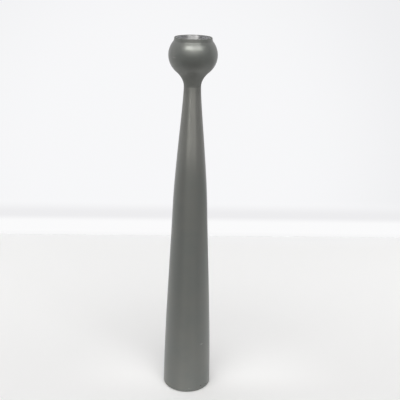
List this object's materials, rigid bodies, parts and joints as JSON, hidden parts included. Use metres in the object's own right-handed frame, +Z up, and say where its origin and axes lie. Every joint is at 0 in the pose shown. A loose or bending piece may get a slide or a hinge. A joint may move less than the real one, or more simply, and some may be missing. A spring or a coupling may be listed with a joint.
{
  "type": "candlestick",
  "caption": "Tall turned candlestick: a slim tapered column on a round weighted foot, a narrow neck and a round bowl with a loose metal cup for a household candle.",
  "frame": {"origin": "on the table, at the centre of the foot", "axes": "+Z up along the turned axis, from the foot to the mouth"},
  "size_m": [0.0518, 0.0518, 0.385],
  "materials": {
    "grey_lacquer": "satin grey lacquer over turned beech",
    "stainless_steel": "deep-drawn stainless steel, satin",
    "bare_beech": "unfinished beech",
    "mild_steel": "punched mild steel, oiled",
    "zinc_plated_steel": "bright zinc plate",
    "dark_felt": "pressed wool felt"
  },
  "bodies": {
    "stand": {"stem": "grey_lacquer", "bowl": "grey_lacquer", "neck_dowel": "bare_beech", "base_weight": "mild_steel", "weight_screw": "zinc_plated_steel", "base_pad": "dark_felt"},
    "cup": {"candle_cup": "stainless_steel"}
  },
  "joints": [
    {"name": "cup_lift", "type": "slide", "parent": "stand", "child": "cup", "axis": [0, 0, 1], "range_m": [0, 0.045]}
  ]
}
